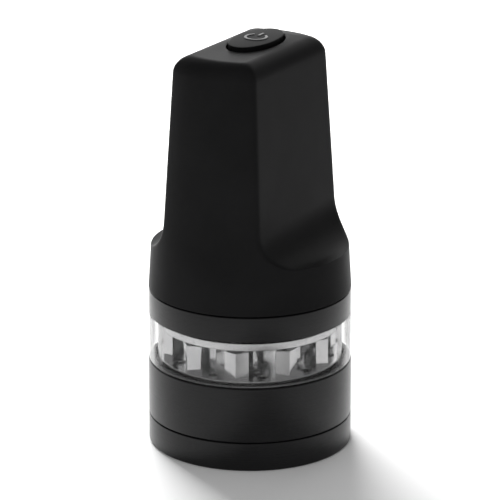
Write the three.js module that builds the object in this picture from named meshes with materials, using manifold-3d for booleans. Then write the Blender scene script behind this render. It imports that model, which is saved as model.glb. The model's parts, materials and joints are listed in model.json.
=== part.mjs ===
// A hand-held, battery-powered herb and spice grinder that stands on its collection cup.
// Millimetres, +Z up. The origin is the centre of the base. The grip's long way runs along Y,
// its two flats face +X and -X, the charging port faces +Y.
import * as THREE from "three";
import { mergeVertices } from "three/addons/utils/BufferGeometryUtils.js";
import Module from "manifold-3d";

const wasm = await Module();
wasm.setup();

// ---------------------------------------------------------------- driving dimensions

const seam = 0.3; // between stacked or touching pieces
const slip = 0.3; // radial, between a spigot and its bore
const running = 0.2; // radial, between a turning shaft and its bush

const bodyRadius = 30;
const cupHeight = 8.6;
const cupFloor = 2;
const cupBowlRadius = 25.2;
const cupBowlFillet = 3;
const cupNeckWall = 2;
const cupNeckHeight = 4.8;
const baseChamfer = 0.6;

const midHeight = 16.7;
const midBoreRadius = 25.8;
const screenShelf = 1.2;
const screenShelfWidth = 1.4;
const plateSeatDepth = 1.5;
const screenRingHeight = 1.8;
const screenRingWall = 0.5;
const screenRingLip = 1;
const screenThickness = 0.4;

const plateRadius = 27;
const plateThickness = 2.4;
const toothCount = 10;
const toothCircle = 23.6;
const toothHalfWidth = 3.7;
const toothHalfDepth = 2.2;
const toothHeight = 8;
const firstTooth = -70.6; // degrees from +X
const plateHoleRadius = 1.6;
const plateHoleCircles = [23.4, 14];

const clearHeight = 13.5;
const clearRadius = 29.9;
const clearWall = 2.6;
const tongueWall = 0.9;
const lipHeight = 1.2;

const upperRadius = 29.8;
const upperHeight = 7.5;
const edgeChamfer = 0.5;
const webRise = 2.5;
const webThickness = 2.4;
const sealHeight = 1;

const rotorDiscThickness = 2.4;
const rotorDiscDrop = 3.7; // underside of the disc below the upper ring's base
const rotorPlay = 0.5; // radial, between the disc and the clear ring
const rotorToothCount = 8;
const rotorToothCircle = 18;
const rotorToothScale = 0.9;
const rotorToothReach = 1.1; // clearance between rotor teeth and the plate
const hubRadius = 7;
const hubHeight = 4.8;

const shaftRadius = 3;
const bushWall = 1.8;
const sealWall = 2.8;

const gripHeight = 73.15;
const gripTaper = 0.06; // radius lost per mm of height
const gripRadius = 29.9; // at the grip's base
const flatHalf = 15.8; // from the axis to a flat, at the top of its foot
const flatTaper = 0.0513;
const flatFoot = 24.05; // height of the foot's top above the grip's base
const footFillet = 11.3;
const topRound = 5.2;
const crown = 0.6;
const wall = 2;
const spigotDepth = 2.3;
const spigotWall = 1.6;

const gearPlate = 1.8;
const gearClear = 0.5;
const gearFace = 2.8;
const stageFace = 2.4;
const slowModule = 0.7;
const fastModule = 0.6;
const outputTeeth = 34;
const compoundSmallTeeth = 12;
const compoundBigTeeth = 30;
const pinionTeeth = 10;
const axleRadius = 1;

const motorOffset = 11; // from the axis, towards -Y
const motorRadius = 12.2;
const motorLength = 28.5;
const motorWall = 0.8;
const motorShaftRadius = 1;
const motorBossRadius = 3;
const motorBossHeight = 1.7;
const endCapHeight = 2;

const batteryOffset = 12.5; // from the axis, towards +Y
const batteryRadius = 9.2;
const batteryLength = 35;
const cradleLift = 14.3; // clear height under the cradle's floor
const cradleWall = 0.8;
const boardThickness = 1.2;
const boardHalf = 10;
const switchBoardGap = 0.36; // to the grip's wall on each side
const switchBoardEdge = 1.4; // from a screw to the end of the switch's board

const buttonOffset = 3.6; // from the axis, towards +Y
const buttonHalfLong = 11.9;
const buttonHalfShort = 6.4;
const buttonGap = 0.6;
const buttonProud = 1.1;
const buttonFlange = 0.8;
const buttonTravel = 0.8;

const screwShank = 1.25;
const bossRadius = 2.8;
const bossCircle = 22.9;
const bossAngles = [30, 150, 270];
const postCircle = 22.5;
const postAngles = [0, 90, 210];

const round = 32; // sides of the large turned pieces
const medium = 24; // of the motor and the cell
const small = 16; // of shafts, bushes and bosses
const tiny = 8; // of screws and leads

// ---------------------------------------------------------------- heights of the stack

const midBase = cupHeight + seam;
const midTop = midBase + midHeight;
const clearBase = midTop + seam;
const clearTop = clearBase + clearHeight;
const upperBase = clearTop + seam;
const upperTop = upperBase + upperHeight;
const gripBase = upperTop + seam;
const gripTop = gripBase + gripHeight;

const neckRadius = cupBowlRadius + cupNeckWall;
const shelfBottom = cupHeight + cupNeckHeight + seam + 0.2;
const shelfTop = shelfBottom + screenShelf;
const plateSeat = midTop - plateSeatDepth;
const plateBottom = plateSeat + seam;
const plateTop = plateBottom + plateThickness;
const clearBore = clearRadius - clearWall;
const tongueRadius = clearBore + tongueWall;

const discBottom = upperBase - rotorDiscDrop;
const discTop = discBottom + rotorDiscThickness;
const hubBottom = discBottom - hubHeight;
const webBottom = upperBase + webRise;
const webTop = webBottom + webThickness;

const gearBaseBottom = webTop + seam;
const gearBaseTop = gearBaseBottom + gearPlate;
const gearBottom = gearBaseTop + gearClear;
const stageBottom = gearBottom + gearFace + 0.6;
const stageTop = stageBottom + stageFace;
const coverBottom = stageTop + 0.9;
const coverTop = coverBottom + gearPlate;
const motorBottom = coverTop + seam;
const motorTop = motorBottom + motorLength;

const cradleBase = coverTop + seam;
const cradleFloor = cradleBase + cradleLift;
const floorTop = cradleFloor + 1.2;
const batteryBottom = floorTop + 0.8;
const batteryTop = batteryBottom + batteryLength;
const boardBottom = coverTop + 4.8;
const boardTop = boardBottom + boardThickness;
const ceiling = gripTop - wall;
const switchBoardTop = ceiling - 5.2;
const switchBoardBottom = switchBoardTop - boardThickness;

const flatFootTop = gripBase + flatFoot;
const spigotRadius = upperRadius - 2 - slip;
const upperBore = spigotRadius + slip;
const platesRadius = spigotRadius - spigotWall - slip;

// ---------------------------------------------------------------- geometry helpers

const turn = Math.PI / 180;

// A closed surface as a manifold-3d solid, facing out.
function solid(geometry) {
  const bare = geometry.index ? geometry.toNonIndexed() : geometry.clone();
  bare.deleteAttribute("normal");
  bare.deleteAttribute("uv");
  const merged = mergeVertices(bare, 1e-4);
  const index = merged.index.array;
  const faces = [];
  for (let i = 0; i < index.length; i += 3) {
    const [a, b, c] = index.subarray(i, i + 3);
    if (a !== b && b !== c && c !== a) faces.push(a, b, c);
  }
  return new wasm.Manifold(
    new wasm.Mesh({
      numProp: 3,
      vertProperties: new Float32Array(merged.attributes.position.array),
      triVerts: new Uint32Array(faces),
    }),
  );
}

function geometryOf(shape) {
  const mesh = shape.getMesh();
  const geometry = new THREE.BufferGeometry();
  geometry.setAttribute("position", new THREE.BufferAttribute(mesh.vertProperties, 3));
  geometry.setIndex(new THREE.BufferAttribute(mesh.triVerts, 1));
  geometry.computeVertexNormals();
  return geometry;
}

const joined = (...shapes) => shapes.flat().reduce((a, b) => a.add(b));
const cut = (shape, ...tools) => tools.flat().reduce((a, b) => a.subtract(b), shape);

function signedArea(points) {
  return points.reduce((sum, [x, y], i) => {
    const [nx, ny] = points[(i + 1) % points.length];
    return sum + (x * ny - nx * y) / 2;
  }, 0);
}

// A body of revolution about Z from an [r, z] outline that starts and ends on the axis or is a loop.
function revolve(outline, sides = round) {
  const onAxis = outline[0][0] === 0 && outline.at(-1)[0] === 0;
  const loop = onAxis ? outline : [...outline, outline[0]];
  const run = signedArea(outline) < 0 ? loop.toReversed() : loop;
  const profile = run.map(([r, z]) => new THREE.Vector2(r, z));
  return solid(new THREE.LatheGeometry(profile, sides).rotateX(Math.PI / 2));
}

// A ring with a rectangular section.
function ring(inner, outer, bottom, top, sides = round) {
  return revolve([[inner, bottom], [outer, bottom], [outer, top], [inner, top]], sides);
}

function rod(radius, bottom, top, sides = small) {
  return revolve([[0, bottom], [radius, bottom], [radius, top], [0, top]], sides);
}

function block(x0, x1, y0, y1, z0, z1) {
  const box = new THREE.BoxGeometry(x1 - x0, y1 - y0, z1 - z0);
  return solid(box.translate((x0 + x1) / 2, (y0 + y1) / 2, (z0 + z1) / 2));
}

// A THREE.Shape in XY raised from bottom to top.
function prism(shape, bottom, top, curveSegments = small) {
  const depth = top - bottom;
  const geometry = new THREE.ExtrudeGeometry(shape, { depth, bevelEnabled: false, curveSegments });
  return solid(geometry.translate(0, 0, bottom));
}

const outlineShape = (points) => new THREE.Shape(points.map(([x, y]) => new THREE.Vector2(x, y)));

// An ellipse's outline, long way along Y.
function oval(halfShort, halfLong, centreY) {
  return new THREE.Shape().absellipse(0, centreY, halfShort, halfLong, 0, 2 * Math.PI, false, 0);
}

function arc(cx, cz, radius, from, to, steps) {
  return Array.from({ length: steps + 1 }, (_, i) => {
    const a = (from + ((to - from) * i) / steps) * turn;
    return [cx + radius * Math.cos(a), cz + radius * Math.sin(a)];
  });
}

const polar = (radius, degrees) => [radius * Math.cos(degrees * turn), radius * Math.sin(degrees * turn)];
const at = (shape, x, y, z = 0) => shape.translate([x, y, z]);

// Copies of a shape on a circle, one at each angle.
const around = (shape, radius, angles) =>
  angles.map((angle) => at(shape.rotate([0, 0, angle]), ...polar(radius, angle)));

const evenly = (count, first = 0) => Array.from({ length: count }, (_, i) => first + (i * 360) / count);

// A round lead through the given points.
function lead(points, radius = 0.6, steps = 10) {
  const extrudePath = new THREE.CatmullRomCurve3(points.map((p) => new THREE.Vector3(...p)));
  const section = new THREE.Shape().absarc(0, 0, radius, 0, 2 * Math.PI);
  return solid(new THREE.ExtrudeGeometry(section, { steps, extrudePath, curveSegments: 3 }));
}

// A screw along Z with its head below.
function screw(shank, head, headBottom, headTop, tip) {
  return revolve([
    [0, headBottom],
    [head, headBottom],
    [head, headTop],
    [shank, headTop],
    [shank, tip - shank],
    [0, tip],
  ], tiny);
}

// ---------------------------------------------------------------- finishes

function finish(color, roughness, metalness) {
  return new THREE.MeshStandardMaterial({ color, roughness, metalness });
}


const blackAnodised = finish(0x2a2b2c, 0.38, 0.85);
const bareAluminium = finish(0xc9cacb, 0.28, 1);
const softTouch = finish(0x232324, 0.6, 0);
const glossBlack = finish(0x141415, 0.3, 0);
const clearPlastic = new THREE.MeshStandardMaterial({
  color: 0xdfe6e6, roughness: 0.05, metalness: 0, transparent: true, opacity: 0.35,
});
const steel = finish(0xb8babc, 0.3, 1);
const steelMesh = finish(0x9c9e9f, 0.45, 1);
const bronze = finish(0xa97b45, 0.4, 1);
const nylon = finish(0xe6e3d8, 0.5, 0);
const framePlastic = finish(0x3a3b3d, 0.6, 0);
const rubber = finish(0x1b1b1b, 0.8, 0);
const magnet = finish(0x4a4a4c, 0.6, 0.3);
const copper = finish(0xb4643a, 0.4, 0.9);
const cellWrap = finish(0x2f6fb0, 0.35, 0);
const boardGreen = finish(0x1f5a36, 0.5, 0);
const redWire = finish(0xa82222, 0.45, 0);
const blackWire = finish(0x18181a, 0.45, 0);
const whitePlastic = finish(0xe8ebea, 0.35, 0);

const grinder = new THREE.Group();

function add(group, name, shape, material) {
  const mesh = new THREE.Mesh(geometryOf(shape), material);
  mesh.name = name;
  group.add(mesh);
}

// ---------------------------------------------------------------- cup and chamber

// Turned bowl with a neck that slips into the mid body.
function collectionCup() {
  return revolve([
    [0, 0],
    [bodyRadius - baseChamfer, 0],
    [bodyRadius, baseChamfer],
    [bodyRadius, cupHeight],
    [neckRadius, cupHeight],
    [neckRadius, cupHeight + cupNeckHeight],
    [cupBowlRadius, cupHeight + cupNeckHeight],
    ...arc(cupBowlRadius - cupBowlFillet, cupFloor + cupBowlFillet, cupBowlFillet, 0, -90, 4),
    [0, cupFloor],
  ]);
}

// Catch chamber: neck bore below, shelf for the screen, seat for plate and clear ring on top.
function midBody() {
  return revolve([
    [bodyRadius, midBase],
    [bodyRadius, midTop - edgeChamfer],
    [bodyRadius - edgeChamfer, midTop],
    [tongueRadius + slip, midTop],
    [tongueRadius + slip, plateSeat],
    [midBoreRadius, plateSeat],
    [midBoreRadius, shelfTop],
    [midBoreRadius - screenShelfWidth, shelfTop],
    [midBoreRadius - screenShelfWidth, shelfBottom],
    [neckRadius + slip, shelfBottom],
    [neckRadius + slip, midBase],
  ]);
}

const screenRingRadius = midBoreRadius - slip;
const screenRingBottom = shelfTop + seam;
const screenStep = screenRingBottom + 0.5;

function screenRing() {
  const top = screenRingBottom + screenRingHeight;
  const bore = screenRingRadius - screenRingWall;
  return revolve([
    [bore - screenRingLip, screenRingBottom],
    [screenRingRadius, screenRingBottom],
    [screenRingRadius, top],
    [bore, top],
    [bore, screenStep],
    [bore - screenRingLip, screenStep],
  ]);
}

function screenMesh() {
  const bottom = screenStep + seam;
  return rod(screenRingRadius - screenRingWall - slip, bottom, bottom + screenThickness, round);
}

// A diamond-section tooth centred on the axis, its long way across the radius.
function tooth(scale, bottom, top) {
  const depth = toothHalfDepth * scale;
  const width = toothHalfWidth * scale;
  return prism(outlineShape([[depth, 0], [0, width], [-depth, 0], [0, -width]]), bottom, top);
}

function grindingPlate() {
  const disc = rod(plateRadius, plateBottom, plateTop, round);
  const blank = tooth(1, plateTop - 1, plateTop + toothHeight);
  const teeth = around(blank, toothCircle, evenly(toothCount, firstTooth));
  const hole = rod(plateHoleRadius, plateBottom - 1, plateTop + 1, tiny);
  const between = firstTooth + 180 / toothCount;
  const holes = plateHoleCircles.flatMap((circle) => around(hole, circle, evenly(toothCount, between)));
  return cut(joined(disc, teeth), holes);
}

// Clear wall with a tongue in the mid body below and a lip in the upper ring above.
function clearRing() {
  return revolve([
    [clearBore, plateBottom],
    [tongueRadius, plateBottom],
    [tongueRadius, clearBase],
    [clearRadius, clearBase],
    [clearRadius, clearTop],
    [tongueRadius, clearTop],
    [tongueRadius, clearTop + lipHeight],
    [clearBore, clearTop + lipHeight],
  ]);
}

add(grinder, "collection_cup", collectionCup(), blackAnodised);
add(grinder, "mid_body", midBody(), blackAnodised);
add(grinder, "screen_ring", screenRing(), steel);
add(grinder, "screen_mesh", screenMesh(), steelMesh);
add(grinder, "grinding_plate", grindingPlate(), bareAluminium);
add(grinder, "clear_ring", clearRing(), clearPlastic);

// ---------------------------------------------------------------- head's ring and seals

const screwHeadRadius = 2.4;
const sealOuter = shaftRadius + running + sealWall;

function upperRing() {
  const body = revolve([
    [upperRadius, upperBase],
    [upperRadius, upperTop - edgeChamfer],
    [upperRadius - edgeChamfer, upperTop],
    [upperBore, upperTop],
    [upperBore, webTop],
    [sealOuter + slip, webTop],
    [sealOuter + slip, webBottom],
    [tongueRadius + slip, webBottom],
    [tongueRadius + slip, upperBase],
  ]);
  const hole = joined(
    rod(screwShank + slip, webBottom - 1, webTop + 1),
    rod(screwHeadRadius + slip, webBottom - 1, webBottom + 1.3),
  );
  return cut(body, around(hole, bossCircle, bossAngles));
}

const headSealBottom = clearTop + lipHeight + seam;
const headSealTop = Math.min(headSealBottom + sealHeight, webBottom - seam);

add(grinder, "upper_ring", upperRing(), blackAnodised);
add(grinder, "head_seal", ring(clearBore + 0.2, tongueRadius, headSealBottom, headSealTop), rubber);
add(
  grinder,
  "shaft_seal",
  ring(shaftRadius + running, sealOuter, webBottom + 0.2, webTop - 0.2, small),
  rubber,
);

// ---------------------------------------------------------------- rotor and its shaft

const shaftBottom = hubBottom + 3.7;
const shaftTop = coverTop - 0.4;
const rotorScrewShank = 1.2;

function grindingRotor() {
  const bore = shaftRadius + slip;
  const body = revolve([
    [clearBore - rotorPlay, discBottom],
    [clearBore - rotorPlay, discTop],
    [bore, discTop],
    [bore, shaftBottom - seam],
    [rotorScrewShank + slip, shaftBottom - seam],
    [rotorScrewShank + slip, hubBottom + 2.2],
    [bore, hubBottom + 2.2],
    [bore, hubBottom],
    [hubRadius, hubBottom],
    [hubRadius, discBottom],
  ]);
  const reach = tooth(rotorToothScale, plateTop + rotorToothReach, discBottom + 1);
  return joined(body, around(reach, rotorToothCircle, evenly(rotorToothCount, firstTooth + 12)));
}

function outputShaft() {
  const bore = rotorScrewShank + slip;
  const depth = shaftBottom + 6;
  const blank = rod(shaftRadius, shaftBottom, shaftTop);
  return cut(blank, rod(bore, shaftBottom - 1, depth));
}

add(grinder, "grinding_rotor", grindingRotor(), bareAluminium);
add(
  grinder,
  "rotor_screw",
  screw(rotorScrewShank, shaftRadius, hubBottom + 0.3, hubBottom + 1.9, shaftBottom + 5),
  steel,
);
add(grinder, "output_shaft", outputShaft(), steel);

// ---------------------------------------------------------------- gears

const pressureAngle = 20 * turn;
const toothShare = 0.42; // of the pitch, at the pitch circle

const pitchRadius = (teeth, size) => (teeth * size) / 2;
const slowCentres = pitchRadius(outputTeeth + compoundSmallTeeth, slowModule);
const fastCentres = pitchRadius(compoundBigTeeth + pinionTeeth, fastModule);

// The compound gear's axis meets both the output axis and the motor's axis at their centre distances.
const compoundY = (fastCentres ** 2 - slowCentres ** 2 - motorOffset ** 2) / (2 * motorOffset);
const compoundX = Math.sqrt(slowCentres ** 2 - compoundY ** 2);
const toCompound = Math.atan2(compoundY, compoundX) / turn;
const toPinion = Math.atan2(-motorOffset - compoundY, -compoundX) / turn;

// A spur gear on the axis whose first tooth points at the given angle.
function spurGear(teeth, size, bottom, top, toothAngle) {
  const pitch = pitchRadius(teeth, size);
  const radii = [pitch - 1.15 * size, pitch + 0.8 * size];
  const halfAngle = (radius) => {
    const half = (toothShare * Math.PI * size) / 2 + (pitch - radius) * Math.tan(pressureAngle);
    return half / radius / turn;
  };
  const [root, tip] = radii;
  const outline = evenly(teeth, toothAngle).flatMap((angle) => [
    polar(root, angle - halfAngle(root)),
    polar(tip, angle - halfAngle(tip)),
    polar(tip, angle + halfAngle(tip)),
    polar(root, angle + halfAngle(root)),
  ]);
  return prism(outlineShape(outline), bottom, top);
}

// Teeth and gaps face each other across each pair of centres.
const gapAngle = (direction, teeth) => direction + 180 + 180 / teeth;

function outputGear() {
  const gear = spurGear(outputTeeth, slowModule, gearBottom, gearBottom + gearFace, toCompound);
  const hub = rod(shaftRadius + 2.2, gearBottom, stageTop - 0.4);
  return cut(joined(gear, hub), rod(shaftRadius + slip, gearBottom - 1, stageTop + 1));
}

function compoundGear() {
  const slow = spurGear(
    compoundSmallTeeth, slowModule, gearBottom, stageBottom + 0.5, gapAngle(toCompound, compoundSmallTeeth),
  );
  const fast = spurGear(compoundBigTeeth, fastModule, stageBottom, stageTop, toPinion);
  const bore = rod(axleRadius + running, gearBottom - 1, stageTop + 1, 10);
  return at(cut(joined(slow, fast), bore), compoundX, compoundY);
}

function motorPinion() {
  const angle = gapAngle(toPinion, pinionTeeth);
  const gear = spurGear(pinionTeeth, fastModule, stageBottom - 0.2, stageTop + 0.4, angle);
  return at(cut(gear, rod(motorShaftRadius + slip, stageBottom - 1, stageTop + 1, 10)), 0, -motorOffset);
}

const axleBlind = gearBaseBottom + 0.6;

function compoundAxle() {
  return at(rod(axleRadius, axleBlind + seam, coverTop - 0.4, 10), compoundX, compoundY);
}

add(grinder, "output_gear", outputGear(), nylon);
add(grinder, "compound_gear", compoundGear(), nylon);
add(grinder, "compound_axle", compoundAxle(), steel);
add(grinder, "motor_pinion", motorPinion(), bronze);

// ---------------------------------------------------------------- gearbox plates, bushes, screws

const bushRadius = shaftRadius + running + bushWall;
const postRadius = 2.2;
const postTop = coverBottom - seam;
const pilotRadius = screwShank + slip;
const standoffs = [-7, 7].map((x) => [x, batteryOffset + 2]);
const motorScrewAngles = [150, 330];
const motorScrewCircle = 8;
const motorScrewShank = 1.1;
const countersink = 2.1;

function gearboxBase() {
  const plate = rod(platesRadius, gearBaseBottom, gearBaseTop, round);
  const pilot = rod(pilotRadius, gearBaseTop + 1, postTop + 1, tiny);
  const post = cut(rod(postRadius, gearBaseTop - 0.5, postTop), pilot);
  const tools = [
    rod(bushRadius + slip, gearBaseBottom - 1, gearBaseTop + 1),
    at(rod(axleRadius + slip, axleBlind, gearBaseTop + 1, 10), compoundX, compoundY),
    ...around(rod(pilotRadius, gearBaseBottom - 1, gearBaseTop + 1, 10), bossCircle, bossAngles),
  ];
  return joined(cut(plate, tools), around(post, postCircle, postAngles));
}

// A screw boss and the rib that ties it to the grip's wall, widened by a clearance.
function bossColumn(clearance, bottom, top) {
  const column = at(rod(bossRadius + clearance, bottom, top), bossCircle, 0);
  const half = bossRadius * 0.6 + clearance;
  return joined(column, block(bossCircle, gripRadius - 1.4, -half, half, bottom, top));
}

function gearboxCover() {
  const plate = rod(platesRadius, coverBottom, coverTop, round);
  const standoff = rod(1.6, coverTop - 0.5, boardBottom - seam, 10);
  const through = (radius) => rod(radius, coverBottom - 1, coverTop + 1);
  const sunk = joined(
    through(motorScrewShank + slip),
    revolve([
      [0, coverBottom - 1],
      [countersink + 1 + slip, coverBottom - 1],
      [0, coverBottom + countersink + slip],
    ], small),
  );
  const tools = [
    through(bushRadius + slip),
    at(through(motorBossRadius + slip), 0, -motorOffset),
    at(through(axleRadius + slip), compoundX, compoundY),
    ...around(through(pilotRadius), postCircle, postAngles),
    ...around(sunk, motorScrewCircle, motorScrewAngles).map((tool) => at(tool, 0, -motorOffset)),
    ...around(at(bossColumn(0.5, coverBottom - 1, coverTop + 1), -bossCircle, 0), bossCircle, bossAngles),
  ];
  return joined(cut(plate, tools), standoffs.map(([x, y]) => at(standoff, x, y)));
}

const bush = (bottom, top) => ring(shaftRadius + running, bushRadius, bottom, top, small);
const upward = (shape) => shape.rotate([180, 0, 0]);

add(grinder, "gearbox_base", gearboxBase(), framePlastic);
add(grinder, "gearbox_cover", gearboxCover(), framePlastic);
add(grinder, "lower_bush", bush(gearBaseBottom, gearBaseTop + 0.2), bronze);
add(grinder, "upper_bush", bush(coverBottom, coverTop - 0.2), bronze);

postAngles.forEach((angle, i) => {
  const down = upward(screw(screwShank, screwHeadRadius, 0, 1.1, 8));
  const [x, y] = polar(postCircle, angle);
  add(grinder, "gearbox_screw_" + (i + 1), at(down, x, y, coverTop + seam + 1.1), steel);
});

bossAngles.forEach((angle, i) => {
  const up = screw(screwShank, screwHeadRadius, webBottom + 0.1, webBottom + 1, gearBaseTop + 7);
  const [x, y] = polar(bossCircle, angle);
  add(grinder, "housing_screw_" + (i + 1), at(up, x, y), steel);
});

// ---------------------------------------------------------------- motor

const frontPlate = 1.2;
const armatureRadius = 8.6;
const airGap = 0.6;
const magnetRadius = motorRadius - motorWall - slip;
const magnetSetback = 3; // from the middle plane to a magnet's edge
const magnetReach = 2 * motorRadius;
const commutatorRadius = 3.2;
const slotCount = 5;
const slotDepth = 5; // radius of the core under the slots
const slotHalf = 0.7;
const coreBottom = motorBottom + frontPlate + 3;
const coreTop = coreBottom + 17;
const capBottom = motorTop + seam;
const tabTop = capBottom + endCapHeight + 2.5;
const tabX = 6;

function motorCan() {
  const inside = motorRadius - motorWall;
  const bore = motorShaftRadius + slip;
  const body = revolve([
    [bore, motorBottom - motorBossHeight],
    [motorBossRadius, motorBottom - motorBossHeight],
    [motorBossRadius, motorBottom],
    [motorRadius, motorBottom],
    [motorRadius, motorTop],
    [inside, motorTop],
    [inside, motorBottom + frontPlate],
    [bore, motorBottom + frontPlate],
  ], medium);
  const hole = rod(motorScrewShank + slip, motorBottom - 1, motorBottom + frontPlate + 1, 10);
  return at(cut(body, around(hole, motorScrewCircle, motorScrewAngles)), 0, -motorOffset);
}

function motorEndCap() {
  const plug = motorRadius - motorWall - slip;
  const bore = motorShaftRadius + slip;
  const body = revolve([
    [0, capBottom - 1.6],
    [plug, capBottom - 1.6],
    [plug, capBottom],
    [motorRadius, capBottom],
    [motorRadius, capBottom + endCapHeight],
    [0, capBottom + endCapHeight],
  ], medium);
  const socket = rod(bore, capBottom - 3, capBottom + 1, 10);
  const tab = block(-1.2, 1.2, -0.3, 0.3, capBottom + 1.5, tabTop);
  const tabs = [-1, 1].map((side) => at(tab, side * tabX, 0));
  return at(joined(cut(body, socket), tabs), 0, -motorOffset);
}

// An arc magnet on the can's inner wall, on the +X side for 1 and the -X side for -1.
function motorMagnet(side) {
  const full = ring(armatureRadius + airGap, magnetRadius, coreBottom, coreTop, medium);
  const rest = block(-magnetReach, magnetSetback, -magnetReach, magnetReach, coreBottom - 1, coreTop + 1);
  return at(cut(full, rest.rotate([0, 0, 90 - 90 * side])), 0, -motorOffset);
}

function motorArmature() {
  const bore = motorShaftRadius + slip;
  const body = revolve([
    [bore, coreBottom],
    [armatureRadius, coreBottom],
    [armatureRadius, coreTop],
    [commutatorRadius, coreTop],
    [commutatorRadius, coreTop + 3],
    [bore, coreTop + 3],
  ], medium);
  const slot = block(0, armatureRadius + 1, -slotHalf, slotHalf, coreBottom - 1, coreTop + 1);
  const core = rod(slotDepth, coreBottom - 2, coreTop + 2);
  const slots = evenly(slotCount).map((angle) => cut(slot, core).rotate([0, 0, angle]));
  return at(cut(body, slots), 0, -motorOffset);
}

const motorShaft = rod(motorShaftRadius, stageBottom - 0.4, capBottom + 0.6, 10);

add(grinder, "motor_can", motorCan(), steel);
add(grinder, "motor_end_cap", motorEndCap(), nylon);
add(grinder, "motor_magnet_left", motorMagnet(-1), magnet);
add(grinder, "motor_magnet_right", motorMagnet(1), magnet);
add(grinder, "motor_armature", motorArmature(), copper);
add(grinder, "motor_shaft", at(motorShaft, 0, -motorOffset), steel);

motorScrewAngles.forEach((angle, i) => {
  const head = coverBottom + 0.1;
  const up = revolve([
    [0, head],
    [countersink, head],
    [motorScrewShank, head + 1],
    [motorScrewShank, motorBottom + frontPlate + 1],
    [0, motorBottom + frontPlate + 1],
  ], small);
  const [x, y] = polar(motorScrewCircle, angle);
  add(grinder, "motor_screw_" + (i + 1), at(up, x, y - motorOffset), steel);
});

// ---------------------------------------------------------------- battery and boards

const cradleHalf = 12.3;
const legWidth = 1.9;
const legYs = [batteryOffset - 8.5, batteryOffset + 6.5];
const notchHalf = 3.2;
const tabThickness = 0.2;
const tabReach = 9.6;

function batteryCell() {
  return at(revolve([
    [0, batteryBottom],
    [batteryRadius - 0.4, batteryBottom],
    [batteryRadius, batteryBottom + 0.4],
    [batteryRadius, batteryTop - 1.2],
    [batteryRadius - 0.5, batteryTop - 0.8],
    [3, batteryTop - 0.8],
    [3, batteryTop],
    [0, batteryTop],
  ], medium), 0, batteryOffset);
}

// Floor, four legs and two curved walls that hold the cell upright.
function batteryCradle() {
  const floor = block(-cradleHalf, cradleHalf, 1.9, batteryOffset + 10, cradleFloor, floorTop);
  const notch = block(-legWidth - 0.6, legWidth + 0.6, -notchHalf, notchHalf, cradleFloor - 1, floorTop + 1);
  const notches = [-1, 1].map((side) => at(notch, side * cradleHalf, batteryOffset));
  const leg = (side, y) => {
    const x = side * (cradleHalf - legWidth / 2);
    return block(x - legWidth / 2, x + legWidth / 2, y - 1.2, y + 1.2, cradleBase, floorTop);
  };
  const legs = [-1, 1].flatMap((side) => legYs.map((y) => leg(side, y)));
  const inner = batteryRadius + slip;
  const shell = ring(inner, inner + cradleWall, floorTop - 0.5, batteryTop - 8, medium);
  const reach = (batteryRadius + 2) * Math.cos(50 * turn);
  const walls = cut(shell, block(-20, 20, -reach, reach, floorTop - 1, batteryTop));
  return joined(cut(floor, notches), legs, at(walls, 0, batteryOffset));
}

// A cell's contact strip with an arm that reaches out to its lead.
function batteryTab(bottom, reach) {
  const y = batteryOffset;
  const top = bottom + tabThickness;
  const arm = block(Math.min(0, reach), Math.max(0, reach), y - 1, y + 1, bottom, top);
  return joined(block(-3, 3, y - 5, y + 5, bottom, top), arm);
}

const portCentre = boardTop + seam + 1.6;
const portHalfWidth = 4.45;
const portHalfHeight = 1.6;
const portFront = gripRadius - 2.1;
const lightX = 8;

function mainBoard() {
  const back = batteryOffset + 11.7;
  const plate = block(-boardHalf, boardHalf, 2.2, back, boardBottom, boardTop);
  const parts = [
    block(-3.5, 1.5, 9, 13, boardTop - 0.2, boardTop + 1.2),
    block(4, 7.5, 8, 11.5, boardTop - 0.2, boardTop + 1.8),
    block(-8, -5.4, 11, 15, boardTop - 0.2, boardTop + 1),
    block(-2, 0, 15, 16.4, boardTop - 0.2, boardTop + 0.7),
    block(3, 5, 14.5, 15.9, boardTop - 0.2, boardTop + 0.7),
  ];
  return joined(plate, parts);
}

// A rounded bar along Y, such as the port's shell or its cut-out.
function bar(halfWidth, halfHeight, front, back) {
  const shape = new THREE.Shape();
  const flat = halfWidth - halfHeight;
  shape.absarc(flat, 0, halfHeight, -Math.PI / 2, Math.PI / 2);
  shape.absarc(-flat, 0, halfHeight, Math.PI / 2, Math.PI * 1.5);
  return prism(shape, 0, back - front, 4).rotate([90, 0, 0]).translate([0, back, portCentre]);
}

function usbSocket() {
  const shell = bar(portHalfWidth, portHalfHeight, portFront - 7.4, portFront);
  const mouth = bar(portHalfWidth - 0.35, portHalfHeight - 0.35, portFront - 6.4, portFront + 1);
  const tongue = block(-3.3, 3.3, portFront - 6.8, portFront - 1, portCentre - 0.35, portCentre + 0.35);
  return joined(cut(shell, mouth), tongue);
}

function alongY(radius, front, back, x, sides = 12) {
  return rod(radius, front, back, sides).rotate([-90, 0, 0]).translate([x, 0, portCentre]);
}

const switchBoardX = flatHalf - flatTaper * (switchBoardTop - flatFootTop) - wall - switchBoardGap;
const switchScrewX = switchBoardX - switchBoardEdge;
const switchHalf = 3;
const switchBottom = switchBoardTop + seam;
const switchTop = switchBottom + 2.9;
const plungerRadius = 1.7;
const buttonBottom = ceiling - seam - buttonFlange;

function switchBoard() {
  const plate = block(
    -switchBoardX, switchBoardX, buttonOffset - 6.5, buttonOffset + 6.5, switchBoardBottom, switchBoardTop,
  );
  const hole = rod(1.2, switchBoardBottom - 1, switchBoardTop + 1, 10);
  return cut(plate, [-1, 1].map((side) => at(hole, side * switchScrewX, buttonOffset)));
}

function tactSwitch() {
  const y = buttonOffset;
  const body = block(-switchHalf, switchHalf, y - switchHalf, y + switchHalf, switchBottom, switchTop);
  return cut(body, at(rod(plungerRadius + slip, switchBottom + 0.4, switchTop + 1), 0, y));
}

function switchPlunger() {
  return at(rod(plungerRadius, switchTop - 1.5, buttonBottom - seam), 0, buttonOffset);
}

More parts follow.
